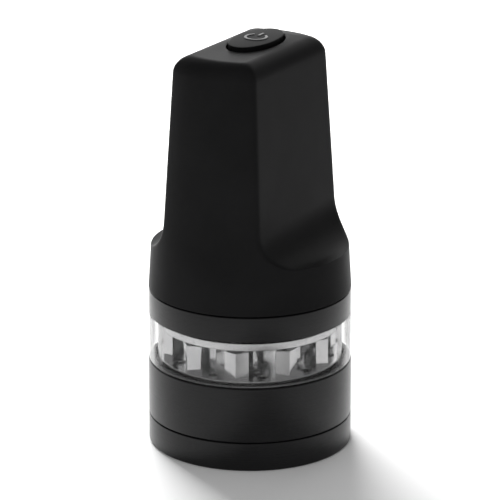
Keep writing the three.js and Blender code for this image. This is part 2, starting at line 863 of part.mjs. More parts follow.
// Domed oval cap with a retaining flange under the grip's top.
function powerButton() {
  const top = gripTop + crown + buttonProud;
  const cap = prism(oval(buttonHalfShort, buttonHalfLong, buttonOffset), buttonBottom, top - 0.7, small);
  const half = [buttonHalfShort + buttonGap + buttonFlange, buttonHalfLong + buttonGap + buttonFlange];
  const flange = prism(oval(...half, buttonOffset), buttonBottom, buttonBottom + buttonFlange, small);
  const inner = [buttonHalfShort - 1, buttonHalfLong - 1];
  const dome = prism(oval(...inner, buttonOffset), top - 1, top, small);
  return joined(cap, flange, dome);
}

add(grinder, "battery_cell", batteryCell(), cellWrap);
add(grinder, "battery_cradle", batteryCradle(), framePlastic);
add(grinder, "battery_tab_negative", batteryTab(floorTop + seam, tabReach), steel);
add(grinder, "battery_tab_positive", batteryTab(batteryTop + seam, -tabReach), steel);
add(grinder, "main_board", mainBoard(), boardGreen);
add(grinder, "usb_socket", usbSocket(), steel);
add(grinder, "charge_light", alongY(0.9, batteryOffset + 10.4, gripRadius - 2.5, lightX), whitePlastic);
add(grinder, "switch_board", switchBoard(), boardGreen);
add(grinder, "tact_switch", tactSwitch(), glossBlack);
add(grinder, "switch_plunger", switchPlunger(), glossBlack);
add(grinder, "power_button", powerButton(), glossBlack);

[-1, 1].forEach((side, i) => {
  const head = switchBoardBottom - seam - 1;
  const up = screw(0.8, 1.6, head, head + 1, ceiling - 1.5);
  add(grinder, "switch_board_screw_" + (i + 1), at(up, side * switchScrewX, buttonOffset), steel);
});

// ---------------------------------------------------------------- leads

const leadX = 11;
const landing = boardTop + 1.2;
const betweenY = 0.2;

const motorLead = (side) => [
  [side * tabX, -motorOffset, tabTop + 1],
  [side * 7.5, -motorOffset + 1, tabTop + 4],
  [side * leadX, betweenY - 4, tabTop - 1],
  [side * leadX, betweenY - 3, motorBottom + 18],
  [side * leadX, betweenY - 2, landing + 5],
  [side * 8.6, 4, landing],
];

const batteryLead = (side, x, z) => [
  [side * x, batteryOffset, z],
  [side * leadX, batteryOffset, z - 4],
  [side * leadX, batteryOffset, landing + 4],
  [side * 8.8, batteryOffset - 6, landing],
];

const switchLead = [
  [-5, buttonOffset - 5, switchBoardBottom - 1],
  [-8, -1, switchBoardBottom - 6],
  [-leadX, betweenY + 0.1, batteryTop - 8],
  [-leadX, betweenY + 0.1, landing + 10],
  [-leadX, betweenY + 1.2, landing + 5],
  [-5, 4.4, landing],
];

add(grinder, "motor_lead_red", lead(motorLead(-1)), redWire);
add(grinder, "motor_lead_black", lead(motorLead(1)), blackWire);
add(grinder, "battery_lead_red", lead(batteryLead(-1, 10.3, batteryTop + 0.3)), redWire);
add(grinder, "battery_lead_black", lead(batteryLead(1, 10.9, floorTop - 0.8)), blackWire);
add(grinder, "switch_lead", lead(switchLead), whitePlastic);

// ---------------------------------------------------------------- grip

const radiusAt = (z) => gripRadius - gripTaper * (z - gripBase);
const flatAt = (z) => flatHalf - flatTaper * (z - flatFootTop);

// The crowned top from the start of its rounding to the axis.
function crownPoints(width, inset) {
  return [1, 0.5, 0].map((t) => [width * t, gripTop - inset + crown * (1 - t * t)]);
}

// The grip's outer form, or its hollow when inset by the wall: a tapered round cut by two flats.
function gripForm(inset, bottom) {
  const shoulder = gripTop - topRound;
  const rounding = topRound - inset;
  const side = radiusAt(shoulder) - topRound;
  const turned = revolve([
    [0, bottom],
    [radiusAt(gripBase) - inset, bottom],
    [radiusAt(gripBase) - inset, gripBase],
    ...arc(side, shoulder, rounding, 0, 75, 3),
    ...crownPoints(side, inset),
  ]);
  const flat = flatAt(shoulder) - topRound;
  const far = bodyRadius + footFillet;
  const half = [
    [far, bottom - 1],
    [far, flatFootTop - footFillet - inset],
    ...arc(flatHalf + footFillet, flatFootTop, footFillet + inset, 270, 180, 5),
    ...arc(flat, shoulder, rounding, 0, 75, 3),
    ...crownPoints(flat, inset),
  ];
  const mirrored = half.slice(0, -1).toReversed().map(([x, z]) => [-x, z]);
  const slab = prism(outlineShape([...half, ...mirrored]), -far, far).rotate([90, 0, 0]);
  return turned.intersect(slab);
}

function housing() {
  const shell = cut(gripForm(0, gripBase), gripForm(wall, gripBase - 1));
  const spigotBottom = gripBase - spigotDepth;
  const spigot = revolve([
    [spigotRadius - spigotWall, spigotBottom],
    [spigotRadius, spigotBottom],
    [spigotRadius, gripBase],
    [gripRadius - 1, gripBase],
    [gripRadius - 1, gripBase + 1.5],
    [spigotRadius - spigotWall, gripBase + 1.5],
  ]);
  const bossBottom = Math.max(gearBaseTop + seam, gripBase);
  const bossTop = coverTop;
  const column = cut(
    bossColumn(0, bossBottom, bossTop),
    at(rod(pilotRadius, bossBottom - 1, bossTop - 1, 10), bossCircle, 0),
  );
  const bosses = bossAngles.map((angle) => column.rotate([0, 0, angle]));
  const hanger = cut(
    rod(1.8, switchBoardTop + seam, ceiling + 0.3),
    rod(1.1, switchBoardTop - 1, ceiling - 1, 10),
  );
  const hangers = [-1, 1].map((side) => at(hanger, side * switchScrewX, buttonOffset));
  const opening = oval(buttonHalfShort + buttonGap, buttonHalfLong + buttonGap, buttonOffset);
  const pocket = prism(opening, ceiling - 1, gripTop + 2, small);
  const port = bar(portHalfWidth + 0.35, portHalfHeight + 0.35, batteryOffset + 12, gripRadius + 2);
  const light = alongY(1.2, batteryOffset + 12, gripRadius + 2, lightX);
  return cut(joined(shell, spigot, bosses, hangers), pocket, port, light);
}

add(grinder, "housing", housing(), softTouch);

export default grinder;
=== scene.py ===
import json
import math

import bmesh
import bpy
from mathutils import Matrix, Vector

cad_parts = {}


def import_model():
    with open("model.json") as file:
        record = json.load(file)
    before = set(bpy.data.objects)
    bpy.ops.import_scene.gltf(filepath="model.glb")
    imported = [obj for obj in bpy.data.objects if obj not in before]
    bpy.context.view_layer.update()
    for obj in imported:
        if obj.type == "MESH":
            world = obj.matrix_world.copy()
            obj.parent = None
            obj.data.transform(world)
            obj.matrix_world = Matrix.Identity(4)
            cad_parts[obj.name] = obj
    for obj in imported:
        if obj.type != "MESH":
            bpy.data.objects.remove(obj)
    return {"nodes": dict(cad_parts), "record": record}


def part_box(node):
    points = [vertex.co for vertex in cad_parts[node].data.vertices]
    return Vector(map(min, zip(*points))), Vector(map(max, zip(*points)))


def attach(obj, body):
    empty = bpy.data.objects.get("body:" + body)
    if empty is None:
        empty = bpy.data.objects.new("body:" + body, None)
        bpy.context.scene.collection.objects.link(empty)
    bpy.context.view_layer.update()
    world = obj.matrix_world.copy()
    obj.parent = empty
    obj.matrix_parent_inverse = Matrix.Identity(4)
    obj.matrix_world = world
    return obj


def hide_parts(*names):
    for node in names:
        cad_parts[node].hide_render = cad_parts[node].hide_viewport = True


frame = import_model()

# A battery herb grinder. Sizes in this script are millimetres; meshes are in metres.
MM = 0.001
TURN = 2 * math.pi
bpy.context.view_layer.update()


def size_of(node):
    """(radius or half width along X, bottom, top) of a node, in millimetres."""
    low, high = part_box(node)
    return high.x / MM, low.z / MM, high.z / MM


# ---------------------------------------------------------------- sizes

SEAM = 0.3
BODY_RADIUS, _, NECK_TOP = size_of("collection_cup")
_, MID_BASE, MID_TOP = size_of("mid_body")
PLATE_RADIUS, PLATE_BOTTOM, TOOTH_TOP = size_of("grinding_plate")
CLEAR_RADIUS, _, LIP_TOP = size_of("clear_ring")
UPPER_RADIUS, UPPER_BASE, UPPER_TOP = size_of("upper_ring")
ROTOR_RADIUS, ROTOR_TOOTH_END, DISC_TOP = size_of("grinding_rotor")
GRIP_RADIUS, SPIGOT_BOTTOM, _ = size_of("housing")
CUP_TOP = MID_BASE - SEAM
CLEAR_BASE = MID_TOP + SEAM
CLEAR_TOP = UPPER_BASE - SEAM
GRIP_BASE = UPPER_TOP + SEAM

CUP_FLOOR = 2
BOWL_RADIUS = 25.2
BOWL_FILLET = 3
NECK_RADIUS = 27.2
NECK_BORE = 27.5
MID_BORE = 25.8
SHELF = (13.9, 15.1, 24.4)  # bottom, top, radius of its hole
PLATE_SEAT = MID_TOP - 1.5
CLEAR_BORE = 27.3
TONGUE_RADIUS = 28.2
PLATE_TOP = PLATE_BOTTOM + 2.4
TOOTH_COUNT = 10
TOOTH_CIRCLE = 23.6
TOOTH_HALF = (2.2, 3.7)  # across and along the circle
FIRST_TOOTH = -70.6
HOLE_CIRCLES = (23.4, 14)
HOLE_RADIUS = 1.6
DISC_BOTTOM = DISC_TOP - 2.4
HUB_RADIUS = 7
HUB_BOTTOM = DISC_BOTTOM - 4.8
ROTOR_TOOTH_CIRCLE = 18
ROTOR_TOOTH_COUNT = 8
SHAFT_BORE = 3.3
WEB = (UPPER_BASE + 2.5, UPPER_BASE + 4.9)
UPPER_BORE = 27.8

CROWN = 0.15
GRIP_TOP = GRIP_BASE + 73.15
GRIP_TAPER = 0.06
FLAT_HALF = 15.8
FLAT_TAPER = 0.0513
FLAT_FOOT_TOP = GRIP_BASE + 24.05
FOOT_FILLET = 11.3
TOP_ROUND = 5.2
WALL = 2
TOP_SLOPE = 0.028  # the top runs down a little towards +Y
EDGE_BLEND = 2.0
BUTTON_Y = 3.6
POCKET_HALF = (7.0, 12.5)  # along X and along Y
BUTTON_HALF = (6.4, 11.9)
BUTTON_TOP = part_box("power_button")[1].z / MM
BUTTON_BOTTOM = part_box("power_button")[0].z / MM
BUTTON_DOME = 0.2
BUTTON_EASING = 0.25
MARK_RADIUS = 3.1
MARK_WIDTH = 0.8
MARK_GAP = 35  # degrees from the bar to each end of the ring

BOSS_CIRCLE = 22.9
BOSS_ANGLES = 30, 120, 3  # first, apart, count
BOSS_RADIUS = 2.8
PILOT_RADIUS = 1.55
BOSS_TOP = 55.7
HANGER_X = sum(corner.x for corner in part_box("switch_board_screw_2")) / 2 / MM
HANGER_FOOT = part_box("switch_board")[1].z / MM + SEAM
SCREW_HEAD_HOLE = 2.7
PORT_CENTRE = 63.6
PORT_HALF = (4.45, 1.6)  # along X and along Z
PORT_BACK, PORT_FRONT = (corner.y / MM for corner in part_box("usb_socket"))
LIGHT_X = 8
LIGHT_RADIUS = 0.9


# ---------------------------------------------------------------- mesh helpers


def turned(outline, steps=192, loop=True):
    """A body of revolution about Z from an outline of (radius, height)."""
    bm = bmesh.new()
    verts = [bm.verts.new((r * MM, 0, z * MM)) for r, z in outline]
    ends = verts[1:] + verts[:1] if loop else verts[1:]
    edges = [bm.edges.new(pair) for pair in zip(verts, ends)]
    bmesh.ops.spin(
        bm, geom=verts + edges, cent=(0, 0, 0), axis=(0, 0, 1), angle=TURN, steps=steps, use_merge=True
    )
    bmesh.ops.remove_doubles(bm, verts=bm.verts, dist=1e-7)
    bmesh.ops.recalc_face_normals(bm, faces=bm.faces)
    return bm


def sharp_edges(bm, angle=30):
    """Edges whose faces turn by more than the angle in degrees."""
    limit = math.radians(angle)
    return [e for e in bm.edges if len(e.link_faces) == 2 and e.calc_face_angle(0) > limit]


def soften(bm, width, segments=3, edges=None):
    """Rounds the sharp edges, or the given ones."""
    chosen = sharp_edges(bm) if edges is None else edges
    bmesh.ops.bevel(
        bm, geom=chosen, offset=width * MM, affect="EDGES", segments=segments, profile=0.5,
        material=-1, clamp_overlap=True,
    )
    return bm


def merged(*parts):
    """One bmesh that holds all the given ones."""
    whole = bmesh.new()
    for part in parts:
        mesh = bpy.data.meshes.new("part")
        part.to_mesh(mesh)
        part.free()
        whole.from_mesh(mesh)
        bpy.data.meshes.remove(mesh)
    return whole


def placed(bm, x=0, y=0, z=0, spin=0):
    """Turns a bmesh about Z by spin degrees, then moves it."""
    matrix = Matrix.Translation((x * MM, y * MM, z * MM)) @ Matrix.Rotation(math.radians(spin), 4, "Z")
    bmesh.ops.transform(bm, matrix=matrix, verts=bm.verts)
    return bm


def polar(radius, degrees):
    """X and Y of a point on a circle."""
    a = math.radians(degrees)
    return radius * math.cos(a), radius * math.sin(a)


def circle_loop(bm, radius, x, y, z, sides):
    """Adds a ring of edges and gives them back."""
    made = bmesh.ops.create_circle(
        bm, radius=radius * MM, segments=sides, matrix=Matrix.Translation((x * MM, y * MM, z * MM))
    )
    return list({e for v in made["verts"] for e in v.link_edges})


def drilled_disc(radius, bottom, top, holes, bore=0, sides=192, hole_sides=24):
    """A flat disc with round holes, each (radius, x, y), and a bore in the middle if one is given."""
    bm = bmesh.new()
    edges = circle_loop(bm, radius, 0, 0, bottom, sides)
    if bore:
        edges += circle_loop(bm, bore, 0, 0, bottom, 48)
    for hole, x, y in holes:
        edges += circle_loop(bm, hole, x, y, bottom, hole_sides)
    bmesh.ops.triangle_fill(bm, use_beauty=True, use_dissolve=False, edges=edges)
    raised = bmesh.ops.extrude_face_region(bm, geom=bm.faces[:], use_keep_orig=True)
    lifted = [g for g in raised["geom"] if isinstance(g, bmesh.types.BMVert)]
    bmesh.ops.translate(bm, vec=(0, 0, (top - bottom) * MM), verts=lifted)
    bmesh.ops.recalc_face_normals(bm, faces=bm.faces)
    return bm


def bar_of(points, bottom, top):
    """A straight bar on an outline of (x, y) points."""
    bm = bmesh.new()
    face = bm.faces.new([bm.verts.new((x * MM, y * MM, bottom * MM)) for x, y in points])
    raised = bmesh.ops.extrude_face_region(bm, geom=[face], use_keep_orig=True)
    lifted = [g for g in raised["geom"] if isinstance(g, bmesh.types.BMVert)]
    bmesh.ops.translate(bm, vec=(0, 0, (top - bottom) * MM), verts=lifted)
    bmesh.ops.recalc_face_normals(bm, faces=bm.faces)
    return bm


def laid(bm, x, z):
    """Lays a shape that stands on the origin along +Y, with its axis at x and z."""
    matrix = Matrix.Translation((x * MM, 0, z * MM)) @ Matrix.Rotation(math.radians(-90), 4, "X")
    bmesh.ops.transform(bm, matrix=matrix, verts=bm.verts)
    return bm


def stadium(half_long, half_short, steps=12):
    """Points of a slot's outline with round ends."""
    points = []
    for side in (1, -1):
        for i in range(steps + 1):
            a = math.radians(-90 + 180 * i / steps)
            x = half_long - half_short + half_short * math.cos(a)
            points.append((side * x, side * half_short * math.sin(a)))
    return points


def piece(name, bm, finish, body, nodes, smooth=18):
    """Makes the object, gives it its finish and lets it stand for its CAD nodes."""
    mesh = bpy.data.meshes.new(name)
    bm.to_mesh(mesh)
    bm.free()
    mesh.shade_smooth()
    mesh.set_sharp_from_angle(angle=math.radians(smooth))
    mesh.materials.append(finish)
    obj = bpy.data.objects.new(name, mesh)
    bpy.context.scene.collection.objects.link(obj)
    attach(obj, body)
    if nodes:
        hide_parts(*nodes)
    return obj


# ---------------------------------------------------------------- finishes


class Signal:
    """A shader value. Arithmetic on it adds Math nodes."""

    def __init__(self, finish, socket):
        self.finish = finish
        self.socket = socket

    def maths(self, operation, *values):
        return self.finish.node("ShaderNodeMath", {"operation": operation}, dict(enumerate(values)))

    def __add__(self, other):
        return self.maths("ADD", self, other)

    def __sub__(self, other):
        return self.maths("SUBTRACT", self, other)

    def __rsub__(self, other):
        return self.maths("SUBTRACT", other, self)

    def __mul__(self, other):
        return self.maths("MULTIPLY", self, other)

    def __pow__(self, other):
        return self.maths("POWER", self, other)

    __radd__ = __add__
    __rmul__ = __mul__

    def ramp(self, low, high, start=0.0, end=1.0):
        """Goes smoothly from start to end as the value goes from low to high."""
        values = {"Value": self, "From Min": low, "From Max": high, "To Min": start, "To Max": end}
        return self.finish.node("ShaderNodeMapRange", {"interpolation_type": "SMOOTHSTEP"}, values)


class Finish:
    """A material built by plain calls around one Principled shader."""

    def __init__(self, name, **constants):
        self.material = bpy.data.materials.new(name)
        self.material.use_nodes = True
        self.tree = self.material.node_tree
        self.shader = self.tree.nodes["Principled BSDF"]
        for socket, value in constants.items():
            self.shader.inputs[socket.replace("_", " ")].default_value = value
        self.place = self.node("ShaderNodeTexCoord", output="Object")

    def node(self, kind, settings=None, inputs=None, output=0):
        made = self.tree.nodes.new(kind)
        for name, value in (settings or {}).items():
            setattr(made, name, value)
        for name, value in (inputs or {}).items():
            if isinstance(value, Signal):
                self.tree.links.new(value.socket, made.inputs[name])
            else:
                made.inputs[name].default_value = value
        return Signal(self, made.outputs[output])

    def feed(self, socket, signal):
        self.tree.links.new(signal.socket, self.shader.inputs[socket])

    def noise(self, scale, detail=2.0, roughness=0.5, vector=None):
        inputs = {"Vector": vector or self.place, "Scale": scale, "Detail": detail, "Roughness": roughness}
        return self.node("ShaderNodeTexNoise", None, inputs)

    def along(self):
        """X, Y and Z of the place as three signals."""
        split = self.node("ShaderNodeSeparateXYZ", None, {"Vector": self.place})
        outputs = split.socket.node.outputs
        return [Signal(self, outputs[axis]) for axis in "XYZ"]

    def blend(self, factor, first, second):
        inputs = {0: factor, 6: (*first, 1), 7: (*second, 1)}
        return self.node("ShaderNodeMix", {"data_type": "RGBA"}, inputs, output=2)

    def relief(self, height, depth, strength=1.0):
        """Fine relief, depth in millimetres."""
        inputs = {"Height": height, "Distance": depth * MM, "Strength": strength}
        self.feed("Normal", self.node("ShaderNodeBump", None, inputs))

    def turning_marks(self, pitch, rise=1.0):
        """Lines left by a turning tool: rings on faces, and round the axis on walls by the rise given."""
        x, y, z = self.along()
        radius = (x * x + y * y) ** 0.5
        value = (radius + z * rise) * (1 / (pitch * MM))
        inputs = {"W": value, "Scale": 1, "Detail": 3}
        return self.node("ShaderNodeTexNoise", {"noise_dimensions": "1D"}, inputs)


def anodised_black():
    finish = Finish("anodised_black", Metallic=0.0, Specular_IOR_Level=0.24)
    marks = finish.turning_marks(0.12)
    cloud = finish.noise(60, 4)
    colour = finish.blend(cloud.ramp(0.35, 0.7), (0.003, 0.003, 0.0033), (0.005, 0.005, 0.0054))
    finish.feed("Base Color", colour)
    finish.feed("Roughness", marks * 0.08 + cloud * 0.06 + 0.2)
    finish.relief(marks, 0.006, 0.25)
    return finish.material


def bare_aluminium():
    finish = Finish("bare_aluminium", Metallic=1.0)
    marks = finish.turning_marks(0.2, rise=0)
    cloud = finish.noise(90, 3)
    colour = finish.blend(cloud.ramp(0.3, 0.7), (0.5, 0.5, 0.505), (0.58, 0.58, 0.58))
    finish.feed("Base Color", colour)
    finish.feed("Roughness", marks * 0.1 + cloud * 0.06 + 0.08)
    finish.relief(marks, 0.004, 0.3)
    return finish.material


def soft_touch():
    finish = Finish("soft_touch", Specular_IOR_Level=0.02)
    grain = finish.noise(2600, 2, 0.6)
    cloud = finish.noise(40, 4)
    smudge = finish.noise(95, 3, 0.6).ramp(0.5, 0.75)
    colour = finish.blend(cloud.ramp(0.3, 0.7), (0.0075, 0.0075, 0.0077), (0.01, 0.01, 0.0103))
    finish.feed("Base Color", colour)
    finish.feed("Roughness", 0.36 + grain * 0.08 - smudge * 0.04)
    finish.relief(grain, 0.01, 0.3)
    return finish.material


def button_black():
    finish = Finish("button_black", Specular_IOR_Level=0.012)
    grain = finish.noise(1800, 2, 0.5)
    colour = finish.blend(grain.ramp(0.3, 0.7), (0.004, 0.004, 0.0042), (0.006, 0.006, 0.0063))
    finish.feed("Base Color", colour)
    finish.feed("Roughness", grain * 0.1 + 0.33)
    finish.relief(grain, 0.01, 0.3)
    return finish.material


def clear_plastic():
    finish = Finish("clear_plastic", IOR=1.49)
    # Painted reflection: where the wall is seen edge-on (rim), the base colour goes from dark grey to light
    # grey and the alpha rises. This stands in for the bright reflection on the ring's ends. haze is the
    # plastic's own uneven clouding.
    facing = finish.node("ShaderNodeLayerWeight", None, {"Blend": 0.5}, output="Facing")
    rim = facing.ramp(0.6, 0.76)
    haze = finish.noise(90, 3)
    finish.feed("Base Color", finish.blend(rim, (0.12, 0.12, 0.12), (0.5, 0.5, 0.5)))
    finish.feed("Roughness", haze * 0.05 + 0.02)
    finish.feed("Alpha", rim * 0.6 + haze * 0.05 + 0.08)
    return finish.material


def plain(name, dark, light, roughness, metallic=0.0, scale=300, depth=0.01):
    """A small-piece finish: mottled colour, uneven gloss and a fine grain."""
    finish = Finish(name, Metallic=metallic)
    cloud = finish.noise(scale, 4, 0.6)
    grain = finish.noise(scale * 8, 2)
    finish.feed("Base Color", finish.blend(cloud.ramp(0.3, 0.7), dark, light))
    finish.feed("Roughness", grain * 0.12 + cloud * 0.08 + (roughness - 0.1))
    finish.relief(grain, depth, 0.4)
    return finish.material


FINISHES = {
    "anodised_black": anodised_black(),
    "bare_aluminium": bare_aluminium(),
    "soft_touch": soft_touch(),
    "button_black": button_black(),
    "clear_plastic": clear_plastic(),
    "button_mark": plain("button_mark", (0.05, 0.05, 0.05), (0.08, 0.08, 0.081), 0.4, scale=600),
    "steel": plain("steel", (0.5, 0.51, 0.52), (0.68, 0.68, 0.69), 0.32, 1.0),
    "bronze": plain("bronze", (0.42, 0.27, 0.12), (0.58, 0.4, 0.2), 0.4, 1.0),
    "nylon": plain("nylon", (0.72, 0.69, 0.6), (0.82, 0.79, 0.7), 0.5),
    "frame_plastic": plain("frame_plastic", (0.03, 0.03, 0.032), (0.05, 0.05, 0.053), 0.6, depth=0.03),
    "seal_rubber": plain("seal_rubber", (0.012, 0.012, 0.012), (0.025, 0.025, 0.025), 0.75, depth=0.03),
    "magnet": plain("magnet", (0.05, 0.05, 0.053), (0.1, 0.1, 0.105), 0.6, 0.3, depth=0.04),
    "copper": plain("copper", (0.4, 0.13, 0.05), (0.62, 0.26, 0.12), 0.35, 0.9),
    "cell_wrap": plain("cell_wrap", (0.03, 0.12, 0.36), (0.05, 0.17, 0.45), 0.3),
    "circuit_board": plain("circuit_board", (0.01, 0.09, 0.035), (0.02, 0.15, 0.06), 0.4),
    "switch_black": plain("switch_black", (0.015, 0.015, 0.015), (0.03, 0.03, 0.03), 0.45),
    "wire_red": plain("wire_red", (0.4, 0.02, 0.02), (0.55, 0.04, 0.03), 0.4),
    "wire_black": plain("wire_black", (0.015, 0.015, 0.015), (0.03, 0.03, 0.03), 0.4),
    "white_plastic": plain("white_plastic", (0.78, 0.79, 0.78), (0.88, 0.88, 0.87), 0.35),
}

for part in frame["record"]["subparts"]:
    node = frame["nodes"][part["node"]]
    node.data.materials.clear()
    node.data.materials.append(FINISHES[part["material_slot"]])


# ---------------------------------------------------------------- turned rings


def eased(corners, steps=5):
    """An outline's points from corners of (r, z) or (r, z, easing), an easing being the corner's radius."""
    points = []
    count = len(corners)
    for i, corner in enumerate(corners):
        here = Vector(corner[:2])
        radius = corner[2] if len(corner) > 2 else 0
        if not radius:
            points.append(tuple(here))
            continue
        back = (Vector(corners[i - 1][:2]) - here).normalized()
        on = (Vector(corners[(i + 1) % count][:2]) - here).normalized()
        half = back.angle(on) / 2
        centre = here + (back + on).normalized() * radius / math.sin(half)
        start = here + back * radius / math.tan(half) - centre
        swing = start.angle_signed(here + on * radius / math.tan(half) - centre)
        for k in range(steps + 1):
            a = -swing * k / steps
            x, y = start
            r = centre.x + x * math.cos(a) - y * math.sin(a)
            z = centre.y + x * math.sin(a) + y * math.cos(a)
            points.append((r, z))
    return points


def carved(bm, tool, operation="DIFFERENCE"):
    """One solid cut by another, or joined to it."""
    solids = []
    for name, shape in (("blank", bm), ("tool", tool)):
        mesh = bpy.data.meshes.new(name)
        shape.to_mesh(mesh)
        shape.free()
        solids.append(bpy.data.objects.new(name, mesh))
        bpy.context.scene.collection.objects.link(solids[-1])
    blank, cutter = solids
    modifier = blank.modifiers.new("carve", "BOOLEAN")
    modifier.operation = operation
    modifier.object = cutter
    result = bpy.data.meshes.new_from_object(blank.evaluated_get(bpy.context.evaluated_depsgraph_get()))
    made = bmesh.new()
    made.from_mesh(result)
    for solid in solids:
        bpy.data.meshes.remove(solid.data)
    bpy.data.meshes.remove(result)
    bmesh.ops.remove_doubles(made, verts=made.verts, dist=1e-7)
    bmesh.ops.dissolve_degenerate(made, dist=1e-7, edges=made.edges)
    return made


def around(make, radius, count, first=0):
    """Copies of what make() gives, evenly on a circle, each turned to face out."""
    parts = []
    for i in range(count):
        angle = first + i * 360 / count
        x, y = polar(radius, angle)
        parts.append(placed(make(), x, y, 0, angle))
    return merged(*parts)


def rod(radius, bottom, top):
    """A plain round bar on the axis."""
    return turned([(0, bottom), (radius, bottom), (radius, top), (0, top)], 32, loop=False)


def collection_cup():
    """Bowl with a rounded floor and a slip-on neck that has two shallow detent grooves."""
    neck = []
    for z in (CUP_TOP + 1.6, CUP_TOP + 3.2):
        neck += [(NECK_RADIUS, z - 0.35), (NECK_RADIUS - 0.25, z), (NECK_RADIUS, z + 0.35)]
    outline = eased([
        (0, 0.35), (BODY_RADIUS - 3.4, 0.35, 0.1), (BODY_RADIUS - 3, 0, 0.1), (BODY_RADIUS, 0, 0.75),
        (BODY_RADIUS, CUP_TOP, 0.28), (NECK_RADIUS, CUP_TOP), *neck, (NECK_RADIUS, NECK_TOP, 0.35),
        (BOWL_RADIUS, NECK_TOP, 0.25), (BOWL_RADIUS, CUP_FLOOR, BOWL_FILLET), (0, CUP_FLOOR),
    ], 6)
    return turned(outline, loop=False)


def mid_body():
    """Ring with a shelf for the screen inside and a seat for plate and clear ring on top."""
    return turned(eased([
        (BODY_RADIUS, MID_BASE, 0.28), (BODY_RADIUS, MID_TOP, 0.5), (TONGUE_RADIUS + SEAM, MID_TOP, 0.15),
        (TONGUE_RADIUS + SEAM, PLATE_SEAT), (MID_BORE, PLATE_SEAT, 0.1), (MID_BORE, SHELF[1]),
        (SHELF[2], SHELF[1], 0.15), (SHELF[2], SHELF[0], 0.15), (NECK_BORE, SHELF[0]),
        (NECK_BORE, MID_BASE, 0.3),
    ]))


def screw_hole():
    """Stepped hole through the web, wide below for a screw's head."""
    return turned([
        (0, WEB[0] - 1), (SCREW_HEAD_HOLE, WEB[0] - 1), (SCREW_HEAD_HOLE, WEB[0] + 1.3),
        (PILOT_RADIUS, WEB[0] + 1.3), (PILOT_RADIUS, WEB[1] + 1), (0, WEB[1] + 1),
    ], 32, loop=False)


def upper_ring():
    """Ring at the head's foot with a web that carries the shaft's seal and three screws."""
    seal_seat = SHAFT_BORE + 3
    ring = turned(eased([
        (UPPER_RADIUS, UPPER_BASE, 0.25), (UPPER_RADIUS, UPPER_TOP, 0.35), (UPPER_BORE, UPPER_TOP, 0.15),
        (UPPER_BORE, WEB[1]), (seal_seat, WEB[1], 0.15), (seal_seat, WEB[0], 0.15),
        (TONGUE_RADIUS + SEAM, WEB[0]), (TONGUE_RADIUS + SEAM, UPPER_BASE, 0.15),
    ]))
    first, apart, count = BOSS_ANGLES
    return carved(ring, around(screw_hole, BOSS_CIRCLE, count, first))


def clear_ring():
    """Clear chamber wall with a tongue below and a lip above."""
    return turned(eased([
        (CLEAR_BORE, PLATE_BOTTOM, 0.1), (TONGUE_RADIUS, PLATE_BOTTOM, 0.1), (TONGUE_RADIUS, CLEAR_BASE),
        (CLEAR_RADIUS, CLEAR_BASE, 0.25), (CLEAR_RADIUS, CLEAR_TOP, 0.25), (TONGUE_RADIUS, CLEAR_TOP),
        (TONGUE_RADIUS, LIP_TOP, 0.1), (CLEAR_BORE, LIP_TOP, 0.1),
    ]))


# ---------------------------------------------------------------- plate and rotor


def diamond(scale, bottom, top):
    """A tooth of diamond section, its long way along Y, with its tip chamfered."""
    depth, width = (half * scale for half in TOOTH_HALF)
    tooth = bar_of([(depth, 0), (0, width), (-depth, 0), (0, -width)], bottom, top)
    upright = [e for e in tooth.edges if abs(e.verts[0].co.z - e.verts[1].co.z) > 1e-5]
    return soften(tooth, 0.18, 2, upright)


def blunt_tooth(scale, bottom, top):
    return soften(diamond(scale, bottom, top), 0.2, 2)


def grinding_plate():
    """Flat plate with two circles of drain holes and a circle of upright teeth."""
    angles = [FIRST_TOOTH + (i + 0.5) * 360 / TOOTH_COUNT for i in range(TOOTH_COUNT)]
    places = [polar(ring, angle) for ring in HOLE_CIRCLES for angle in angles]
    disc = drilled_disc(PLATE_RADIUS, PLATE_BOTTOM, PLATE_TOP, [(HOLE_RADIUS, x, y) for x, y in places])
    soften(disc, 0.2, 2)
    teeth = around(lambda: blunt_tooth(1, PLATE_TOP - 0.8, TOOTH_TOP), TOOTH_CIRCLE, TOOTH_COUNT, FIRST_TOOTH)
    return carved(disc, teeth, "UNION")


def grinding_rotor():
    """Disc with hanging teeth and a hub that takes the shaft's end and its screw."""
    shaft_end = HUB_BOTTOM + 3.4
    body = turned(eased([
        (ROTOR_RADIUS, DISC_BOTTOM, 0.3), (ROTOR_RADIUS, DISC_TOP, 0.3), (SHAFT_BORE, DISC_TOP, 0.15),
        (SHAFT_BORE, shaft_end), (1.5, shaft_end), (1.5, HUB_BOTTOM + 2.2), (SHAFT_BORE, HUB_BOTTOM + 2.2),
        (SHAFT_BORE, HUB_BOTTOM, 0.2), (HUB_RADIUS, HUB_BOTTOM, 0.4), (HUB_RADIUS, DISC_BOTTOM, 0.6),
    ]))
    teeth = around(
        lambda: blunt_tooth(0.9, ROTOR_TOOTH_END, DISC_BOTTOM + 0.8),
        ROTOR_TOOTH_CIRCLE, ROTOR_TOOTH_COUNT, FIRST_TOOTH + 12,
    )
    return carved(body, teeth, "UNION")


# ---------------------------------------------------------------- grip


def skinned(sections, steps, loop=True):
    """A closed skin over sections, each a function of the angle that gives a point in millimetres."""
    bm = turned([(1 + i, 0) for i in range(len(sections))], steps, loop)
    for vert in bm.verts:
        section = sections[round(vert.co.xy.length / MM) - 1]
        vert.co = Vector(section(math.atan2(vert.co.y, vert.co.x))) * MM
    bmesh.ops.remove_doubles(bm, verts=bm.verts, dist=1e-7)
    bmesh.ops.recalc_face_normals(bm, faces=bm.faces)
    return bm


